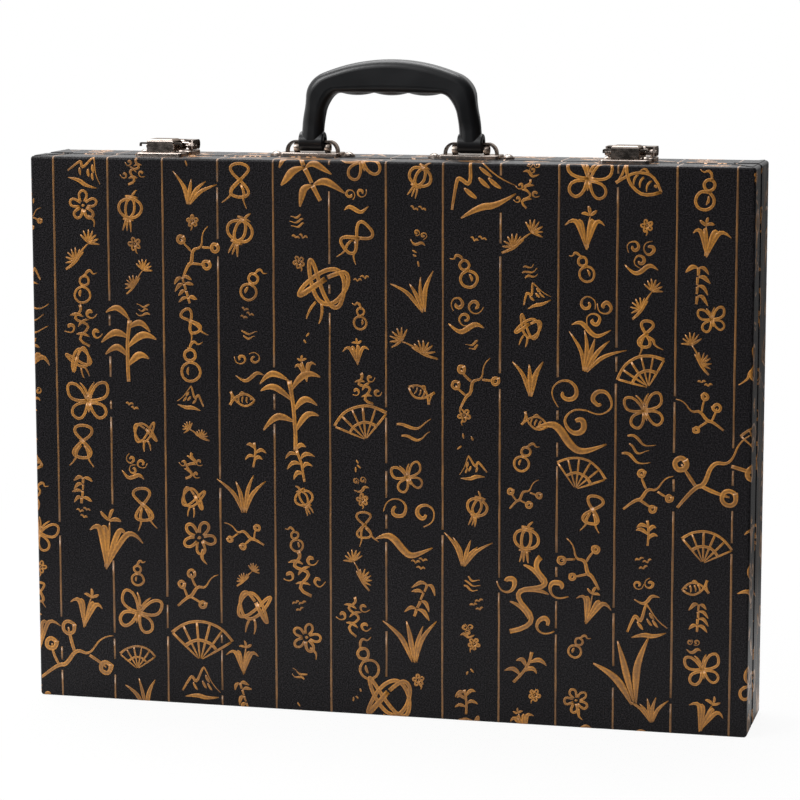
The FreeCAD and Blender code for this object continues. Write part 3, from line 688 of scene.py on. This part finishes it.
def draw_lines(drawing, brushwork, half_u, half_v, rng):
    """Thin upright lines, a little uneven, that stop short of every brush mark."""
    marks = []
    for spline in brushwork.splines:
        points = [(p.co.x / mm, p.co.y / mm, p.radius) for p in spline.points]
        for (u, v, r), (u_next, v_next, _) in zip(points, points[1:] + points[-1:]):
            marks += [(u, v, r), ((u + u_next) / 2, (v + v_next) / 2, r)]
    u = first_line
    while u < half_u:
        stops = [(v - r / 2 - line_clearance, v + r / 2 + line_clearance)
                 for a, v, r in marks if abs(a - u) < r / 2 + line_clearance]
        stops.append((half_v, half_v + 1))
        start = -half_v
        for low, high in sorted(stops):
            if low - start > line_shortest:
                count = max(2, int((low - start) / line_step) + 1)
                spline = drawing.splines.new("POLY")
                spline.points.add(count - 1)
                for index, point in enumerate(spline.points):
                    v = start + (low - start) * index / (count - 1)
                    point.co = ((u + rng.uniform(-line_sway, line_sway)) * mm, v * mm, 0, 1)
                    point.radius = line_width * rng.uniform(0.85, 1.15)
            start = max(start, high)
        u += line_pitch


def wrap(along, half, depth, height):
    """Follows the sheet from the middle of the face, round its edge and down the side and bevel."""
    flat = half - face_edge_radius
    past = abs(along) - flat
    quarter = face_edge_radius * math.pi / 2
    straight = depth - face_edge_radius - seam_bevel
    hand = 1 if along > 0 else -1
    if past <= 0:
        return along, -height
    if past < quarter:
        turn = past / face_edge_radius
        reach = face_edge_radius + height
        return hand * (flat + reach * math.sin(turn)), face_edge_radius - reach * math.cos(turn)
    if past <= quarter + straight:
        return hand * (half + height), face_edge_radius + past - quarter
    slope = (past - quarter - straight + height) / math.sqrt(2)
    lift = height * math.sqrt(2)
    return hand * (half - slope + lift), depth - seam_bevel + slope


def folds(half, depth):
    """Distances from the middle at which the sheet bends, with its end as the last."""
    quarter = face_edge_radius * math.pi / 2
    start = half - face_edge_radius
    steps = [start + quarter * index / 4 for index in range(5)]
    bevel = start + quarter + depth - face_edge_radius - seam_bevel
    return steps + [bevel, bevel + seam_bevel * math.sqrt(2) - print_end_gap]


def fold_onto_case(thing, depth, turned):
    """Cuts a flat printed mesh at the folds, closes it and lays it on the lid, or turned on the base."""
    half_height = case_top / 2
    select_only(thing)
    bpy.ops.object.convert(target="MESH")
    bpy.ops.object.mode_set(mode="EDIT")
    bpy.ops.mesh.select_all(action="SELECT")
    bpy.ops.mesh.remove_doubles(threshold=print_merge)
    for axis, half in ((Vector((1, 0, 0)), half_width), (Vector((0, 1, 0)), half_height)):
        bends = folds(half, depth)
        for hand in (-1, 1):
            for distance in [half - corner_cut] + bends:
                bpy.ops.mesh.select_all(action="SELECT")
                bpy.ops.mesh.bisect(plane_co=axis * hand * distance, plane_no=axis * hand,
                                    clear_outer=distance == bends[-1])
    bpy.ops.mesh.select_all(action="DESELECT")
    bpy.ops.object.mode_set(mode="OBJECT")
    for face in thing.data.polygons:
        u, v, _ = face.center
        face.select = abs(u) > half_width - corner_cut and abs(v) > half_height - corner_cut
    bpy.ops.object.mode_set(mode="EDIT")
    bpy.ops.mesh.delete(type="FACE")
    bpy.ops.mesh.select_all(action="SELECT")
    bpy.ops.mesh.fill_holes(sides=0)
    bpy.ops.object.mode_set(mode="OBJECT")
    for vertex in thing.data.vertices:
        u, v, height = vertex.co
        height = height / (1 + max(height, 0) / print_height)
        x, z, back = u, v, -height
        if abs(u) > half_width - face_edge_radius:
            x, back = wrap(u, half_width, depth, height)
        elif abs(v) > half_height - face_edge_radius:
            z, back = wrap(v, half_height, depth, height)
        if turned:
            vertex.co = (-x, back_y - back, half_height + z)
        else:
            vertex.co = (x, front_y + back, half_height + z)


def mark_across(thing):
    """Keeps how far each corner of a printed mesh lies from the middle of its stroke: 1 at the rim."""
    middle, rim = 0.4, 0.2
    places = [0.0] * (2 * len(thing.data.loops))
    thing.data.uv_layers[0].uv.foreach_get("vector", places)
    distances = [min(1, abs(place - middle) / rim) for place in places[1::2]]
    thing.data.uv_layers.remove(thing.data.uv_layers[0])
    thing.data.attributes.new("across", "FLOAT", "CORNER").data.foreach_set("value", distances)


def print_sheet(body, depth, turned, seed):
    """The whole print of one half of the case: brushwork and thin lines."""
    rng = random.Random(seed)
    edge = face_edge_radius * math.pi / 2 - face_edge_radius + depth
    half_u, half_v = (half_width + edge) / mm, (case_top / 2 + edge) / mm
    brushwork, brush_section = flat_drawing(body + "_gold_brushwork")
    draw_brushwork(brushwork, place_motifs(half_u, half_v, rng), rng)
    lines, line_section = flat_drawing(body + "_gold_lines")
    draw_lines(lines, brushwork, half_u, half_v, rng)
    for drawing, ink in ((brushwork, gold), (lines, thin_gold)):
        thing = new_object(drawing.name, drawing)
        fold_onto_case(thing, depth, turned)
        mark_across(thing)
        paint(thing, ink)
        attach(thing, body)
    for section in (brush_section, line_section):
        bpy.data.objects.remove(section)


print_sheet("lid", lid_high.y - lid_low.y, turned=False, seed=7)
print_sheet("base", base_high.y - base_low.y, turned=True, seed=11)


# Pieces that the CAD keeps plain

def apply_modifier(thing, kind, **settings):
    """Adds one modifier, sets it and applies it."""
    select_only(thing)
    modifier = thing.modifiers.new(kind.lower(), kind)
    for name, value in settings.items():
        setattr(modifier, name, value)
    bpy.ops.object.modifier_apply(modifier=modifier.name)


def box_between(name, low, high):
    """A plain block to start a piece from, with its place in its mesh."""
    bpy.ops.object.select_all(action="DESELECT")
    middle = [(a + b) / 2 for a, b in zip(low, high)]
    bpy.ops.mesh.primitive_cube_add(size=1.0, location=middle, scale=[b - a for a, b in zip(low, high)])
    thing = bpy.context.object
    thing.name = name
    bpy.ops.object.transform_apply(location=True, rotation=True, scale=True)
    return thing


def bisect_at(thing, axis, places):
    """Cuts a mesh across X, Y or Z at each place, so that it can bend there."""
    select_only(thing)
    bpy.ops.object.mode_set(mode="EDIT")
    direction = Vector((axis == "X", axis == "Y", axis == "Z"))
    for place in places:
        bpy.ops.mesh.select_all(action="SELECT")
        bpy.ops.mesh.bisect(plane_co=direction * place, plane_no=direction)
    bpy.ops.object.mode_set(mode="OBJECT")


def spaced(low, high, pitch):
    count = max(1, round((high - low) / pitch))
    return [low + (high - low) * index / count for index in range(1, count)]


def copy_of_node(name, node):
    """A merged copy of a CAD node's mesh, as the start of a finer piece."""
    thing = new_object(name, frame["nodes"][node].data.copy())
    select_only(thing)
    bpy.ops.object.mode_set(mode="EDIT")
    bpy.ops.mesh.select_all(action="SELECT")
    bpy.ops.mesh.remove_doubles(threshold=0.005 * mm)
    bpy.ops.mesh.customdata_custom_splitnormals_clear()
    bpy.ops.object.mode_set(mode="OBJECT")
    return thing


def joined(pieces, name):
    """Makes several meshes one piece of that name."""
    select_only(pieces[0])
    for piece in pieces[1:]:
        piece.select_set(True)
    bpy.ops.object.join()
    whole = bpy.context.object
    whole.name = name
    return whole


def finish_piece(thing, body, slot, *nodes):
    paint(thing, finishes[slot])
    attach(thing, body)
    if nodes:
        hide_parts(*nodes)


def velvet_tray(body, inward):
    """The glued velvet lining of one half: floor, low walls, soft corners and a slightly loose floor."""
    node = body + "_lining"
    low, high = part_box(node)
    floor_y, rim_y = (low.y, high.y) if inward > 0 else (high.y, low.y)
    tray = box_between(body + "_velvet_lining", low, high)
    for face in tray.data.polygons:
        face.select = face.normal.y * inward > 0.9
    for part in (tray.data.edges, tray.data.vertices):
        part.foreach_set("select", [False] * len(part))
    bpy.ops.object.mode_set(mode="EDIT")
    bpy.ops.mesh.select_mode(type="FACE")
    bpy.ops.mesh.delete(type="FACE")
    bpy.ops.mesh.select_mode(type="EDGE")
    bpy.ops.object.mode_set(mode="OBJECT")
    points = tray.data.vertices
    for edge in tray.data.edges:
        ends = [points[index].co.y for index in edge.vertices]
        edge.select = not all(abs(y - rim_y) < mm for y in ends)
    bpy.ops.object.mode_set(mode="EDIT")
    bpy.ops.mesh.bevel(offset=lining_fold_radius, segments=3, affect="EDGES")
    bpy.ops.object.mode_set(mode="OBJECT")
    bisect_at(tray, "X", spaced(low.x, high.x, lining_step))
    bisect_at(tray, "Z", spaced(low.z, high.z, lining_step))
    bisect_at(tray, "Y", spaced(low.y, high.y, lining_wall_step))
    for point in tray.data.vertices:
        edge_gap = min(point.co.x - low.x, high.x - point.co.x, point.co.z - low.z, high.z - point.co.z)
        on_floor = abs(point.co.y - floor_y) < 0.1 * mm
        loose = min(1, edge_gap / lining_held_width) if on_floor else 0
        swell = noise.noise(point.co / lining_wide_swell) + 0.5 * noise.noise(point.co / lining_small_swell)
        point.co.y += inward * loose * lining_looseness * (0.55 + 0.45 * swell)
    apply_modifier(tray, "SOLIDIFY", thickness=lining_thickness, offset=-1.0)
    bpy.ops.object.shade_smooth_by_angle(angle=math.radians(50))
    finish_piece(tray, body, "velvet", node)


def velvet_divider(node):
    """A board wrapped in velvet: rounded edges, a little uneven along its length."""
    low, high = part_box(node)
    divider = copy_of_node(node + "_velvet", node)
    apply_modifier(divider, "BEVEL", width=divider_edge, segments=3, limit_method="ANGLE",
                   angle_limit=math.radians(40))
    bisect_at(divider, "X", spaced(low.x, high.x, divider_step))
    middle = (low.z + high.z) / 2
    for point in divider.data.vertices:
        dent = divider_dent * noise.noise(point.co / divider_swell)
        point.co.z += math.copysign(min(abs(dent), divider_deepest_dent), middle - point.co.z)
    select_only(divider)
    bpy.ops.object.shade_smooth_by_angle(angle=math.radians(50))
    finish_piece(divider, "base", "velvet", node)


def recessed_screws(node, body, axis, slot_span, slot_depth, rng):
    """The screws of one node, each with a cross recess turned as it was driven."""
    whole = copy_of_node(node + "_cross_recessed", node)
    name = whole.name
    bpy.ops.object.mode_set(mode="EDIT")
    bpy.ops.mesh.separate(type="LOOSE")
    bpy.ops.object.mode_set(mode="OBJECT")
    screws = list(bpy.context.selected_objects)
    half_span, half_arm = slot_span / 2, 0.13 * slot_span
    for screw in screws:
        corners = [point.co for point in screw.data.vertices]
        top = max(corner.dot(axis) for corner in corners)
        crown = [corner for corner in corners if corner.dot(axis) > top - slot_depth * 2]
        middle = sum(crown, Vector()) / len(crown)
        middle += axis * (top - middle.dot(axis))
        turn = rng.uniform(0, math.pi)
        for quarter in (0, math.pi / 2):
            bar = box_between("recess_bar", (-half_span, -half_arm, -slot_depth),
                              (half_span, half_arm, slot_depth))
            lay = axis.to_track_quat("Z", "Y").to_matrix().to_4x4() @ Matrix.Rotation(turn + quarter, 4, "Z")
            bar.data.transform(Matrix.Translation(middle) @ lay)
            apply_modifier(screw, "BOOLEAN", operation="DIFFERENCE", object=bar, solver="EXACT")
            bpy.data.objects.remove(bar)
    finished = joined(screws, name)
    bpy.ops.object.shade_smooth_by_angle(angle=math.radians(35))
    finish_piece(finished, body, "screw_steel", node)


def loop_collars(node):
    """Two short metal collars of one bracket, under its loop, beside the foot of the handle."""
    low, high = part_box(node)
    middle_x, middle_y = (low.x + high.x) / 2, (low.y + high.y) / 2
    collars = []
    for side in (-1, 1):
        bpy.ops.object.select_all(action="DESELECT")
        place = (middle_x + side * (foot_half_length + collar_gap + collar_length / 2), middle_y,
                 high.z - loop_strip - collar_radius)
        bpy.ops.mesh.primitive_cylinder_add(vertices=40, radius=collar_radius, depth=collar_length,
                                            location=place, rotation=(0, math.pi / 2, 0))
        collar = bpy.context.object
        bpy.ops.object.transform_apply(location=True, rotation=True, scale=True)
        bpy.ops.object.mode_set(mode="EDIT")
        bpy.ops.mesh.select_mode(type="FACE")
        bpy.ops.object.mode_set(mode="OBJECT")
        for face in collar.data.polygons:
            face.select = abs(face.normal.x) > 0.9
        bpy.ops.object.mode_set(mode="EDIT")
        bpy.ops.mesh.inset(thickness=collar_wall, use_individual=True)
        bpy.ops.mesh.inset(thickness=0.01 * mm, depth=-collar_bore_depth, use_individual=True)
        bpy.ops.object.mode_set(mode="OBJECT")
        apply_modifier(collar, "BEVEL", width=collar_edge, segments=2, limit_method="ANGLE",
                       angle_limit=math.radians(50))
        collars.append(collar)
    pair = joined(collars, node + "_loop_collars")
    bpy.ops.object.shade_smooth_by_angle(angle=math.radians(35))
    finish_piece(pair, "base", "hinge_steel")


def corner_laps(body, rim_y, face_y):
    """Where the sheet was folded at the corners: a thin tapered lap on the top, at each end."""
    laps = []
    toward_rim = math.copysign(1, rim_y - face_y)
    start_y = face_y + toward_rim * face_edge_radius
    end_y = rim_y - toward_rim * (seam_bevel + lap_end_gap)
    for end in (-1, 1):
        edge_x = end * (half_width - corner_flat)
        bpy.ops.object.select_all(action="DESELECT")
        bpy.ops.mesh.primitive_plane_add(size=1.0, location=(0, 0, 0))
        lap = bpy.context.object
        corners = ((edge_x, start_y), (edge_x, end_y),
                   (edge_x - end * lap_taper, start_y + toward_rim * lap_taper),
                   (edge_x - end * lap_reach, end_y))
        for point, (x, y) in zip(lap.data.vertices, corners):
            point.co = (x, y, case_top - lap_sunk)
        bpy.ops.object.mode_set(mode="EDIT")
        bpy.ops.mesh.select_all(action="SELECT")
        bpy.ops.mesh.subdivide(number_cuts=7)
        bpy.ops.mesh.normals_make_consistent(inside=False)
        rise = (0, 0, lap_thickness + lap_sunk)
        bpy.ops.mesh.extrude_region_move(TRANSFORM_OT_translate={"value": rise})
        bpy.ops.mesh.select_all(action="SELECT")
        bpy.ops.mesh.normals_make_consistent(inside=False)
        bpy.ops.object.mode_set(mode="OBJECT")
        for point in lap.data.vertices:
            if point.co.z > case_top:
                point.co.z += lap_unevenness * noise.noise(point.co / (3 * mm))
        apply_modifier(lap, "BEVEL", width=lap_edge, segments=2, limit_method="ANGLE",
                       angle_limit=math.radians(50))
        laps.append(lap)
    finished = joined(laps, body + "_corner_laps")
    bpy.ops.object.shade_smooth_by_angle(angle=math.radians(40))
    finish_piece(finished, body, "leatherette")


velvet_tray("lid", 1)
velvet_tray("base", -1)
for divider_node in ("lower_divider", "upper_divider"):
    velvet_divider(divider_node)
driver = random.Random(5)
upward, forward = Vector((0, 0, 1)), Vector((0, -1, 0))
recessed_screws("bracket_screws", "base", upward, 3.0 * mm, 0.6 * mm, driver)
recessed_screws("latch_plate_screws", "base", upward, 2.6 * mm, 0.7 * mm, driver)
recessed_screws("strike_screws", "lid", upward, 2.6 * mm, 0.6 * mm, driver)
recessed_screws("base_hinge_screws", "base", forward, 2.2 * mm, 0.6 * mm, driver)
recessed_screws("lid_hinge_screws", "lid", -forward, 2.2 * mm, 0.6 * mm, driver)
for side in ("left", "right"):
    loop_collars(side + "_bracket")
corner_laps("lid", lid_high.y, front_y)
corner_laps("base", base_low.y, back_y)


# Stage

def add_camera():
    """The photograph's view: right of square on and a little above, from about 1.7 m."""
    azimuth = math.radians(13.74)
    elevation = math.radians(8.61)
    roll = math.radians(-0.05)
    distance = 1.66550
    aside = -0.009814
    above = -0.024275
    back = Vector((math.sin(azimuth) * math.cos(elevation), -math.cos(azimuth) * math.cos(elevation),
                   math.sin(elevation)))
    level = Vector((math.cos(azimuth), math.sin(azimuth), 0))
    upward = back.cross(level)
    right = level * math.cos(roll) + upward * math.sin(roll)
    upward = upward * math.cos(roll) - level * math.sin(roll)
    target = Vector((0, front_y, case_top / 2))
    place = target - aside * right - above * upward + distance * back
    lens = bpy.data.cameras.new("camera")
    lens.lens = 131.57
    lens.sensor_width = 36.0
    camera = new_object("camera", lens)
    camera.matrix_world = Matrix((
        (right.x, upward.x, back.x, place.x),
        (right.y, upward.y, back.y, place.y),
        (right.z, upward.z, back.z, place.z),
        (0, 0, 0, 1),
    ))
    bpy.context.scene.camera = camera


def add_softbox(name, place, target, size, watts):
    lamp = bpy.data.lights.new(name, "AREA")
    lamp.shape = "RECTANGLE"
    lamp.size, lamp.size_y = size
    lamp.energy = watts
    thing = new_object(name, lamp)
    thing.location = place
    thing.rotation_euler = (Vector(target) - Vector(place)).to_track_quat("-Z", "Y").to_euler()


def add_floor():
    """Matt white paper that fades into the background. A lid that opens past it still shows."""
    bpy.ops.object.select_all(action="DESELECT")
    bpy.ops.mesh.primitive_circle_add(vertices=96, radius=1.3, fill_type="NGON", location=(0, 0, -0.2 * mm))
    floor = bpy.context.object
    floor.name = "studio_floor"
    material, tree, place = start_material("matt_white_paper_sweep")
    paper = add(tree, "ShaderNodeBsdfDiffuse", {"Color": srgb("F4F4F3")})
    clear = add(tree, "ShaderNodeBsdfTransparent")
    path = add(tree, "ShaderNodeLightPath")
    reach = add(tree, "ShaderNodeVectorMath", {0: place}, operation="LENGTH").outputs["Value"]
    veil = add(tree, "ShaderNodeMapRange", {"Value": reach, "From Min": 0.25, "From Max": 0.75,
                                            "To Min": 0.93})
    seen = add(tree, "ShaderNodeMath", {0: path.outputs["Is Camera Ray"], 1: veil.outputs[0]},
               operation="MULTIPLY")
    edge = add(tree, "ShaderNodeMapRange", {"Value": reach, "From Min": 0.21, "From Max": 0.5,
                                            "To Max": 0.9})
    mirrored = add(tree, "ShaderNodeMath", {0: path.outputs["Is Glossy Ray"], 1: edge.outputs[0]},
                   operation="MULTIPLY")
    either = add(tree, "ShaderNodeMath", {0: seen.outputs[0], 1: mirrored.outputs[0]}, operation="MAXIMUM")
    share = add(tree, "ShaderNodeMath", {0: either.outputs[0], 1: path.outputs["Is Shadow Ray"]},
                operation="MAXIMUM")
    mixed = add(tree, "ShaderNodeMixShader", {0: share.outputs[0], 1: paper.outputs[0], 2: clear.outputs[0]})
    add(tree, "ShaderNodeOutputMaterial", {"Surface": mixed.outputs[0]})
    paint(floor, material)


def add_world():
    """White all round for the camera, and behind the case for gloss. The room's near side is darker."""
    world = bpy.data.worlds.new("studio")
    bpy.context.scene.world = world
    world.use_nodes = True
    tree = world.node_tree
    tree.nodes.clear()
    direction = add(tree, "ShaderNodeTexCoord").outputs["Generated"]
    window = (-0.85, 0.3, 0.43)
    toward = add(tree, "ShaderNodeVectorMath", {0: direction, 1: window}, operation="DOT_PRODUCT")
    bright = add(tree, "ShaderNodeMapRange", {"Value": toward.outputs["Value"], "From Min": -0.25,
                                              "From Max": 0.75, "To Min": 0.06, "To Max": 1.0})
    height = add(tree, "ShaderNodeSeparateXYZ", {0: direction}).outputs["Z"]
    above = add(tree, "ShaderNodeMapRange", {"Value": height, "From Min": -0.03, "From Max": 0.0})
    upper = add(tree, "ShaderNodeMath", {0: bright.outputs[0], 1: above.outputs[0]}, operation="MULTIPLY")
    backdrop = add(tree, "ShaderNodeMapRange", {"Value": toward.outputs["Value"], "From Min": 0.0,
                                                "From Max": 0.6})
    path = add(tree, "ShaderNodeLightPath")
    seen = add(tree, "ShaderNodeMath", {0: path.outputs["Is Camera Ray"],
                                        1: path.outputs["Is Transmission Ray"]}, operation="MAXIMUM")
    mirrored = add(tree, "ShaderNodeMath", {0: path.outputs["Is Glossy Ray"], 1: backdrop.outputs[0]},
                   operation="MULTIPLY")
    white = add(tree, "ShaderNodeMath", {0: seen.outputs[0], 1: mirrored.outputs[0]}, operation="MAXIMUM")
    strength = add(tree, "ShaderNodeMix", {"Factor": white.outputs[0], 2: upper.outputs[0], 3: 1.0})
    light = add(tree, "ShaderNodeBackground", {"Color": srgb("FFFFFF"), "Strength": strength.outputs[0]})
    add(tree, "ShaderNodeOutputWorld", {"Surface": light.outputs[0]})


add_camera()
add_floor()
add_world()
add_softbox("key_softbox", (-1.3, -1.6, 1.5), (0, 0, 0.18), (1.0, 1.0), 30)
add_softbox("top_softbox", (-0.3, 0.5, 1.7), (0, 0, 0.2), (1.4, 1.0), 22)
bpy.context.scene.view_settings.view_transform = "Standard"
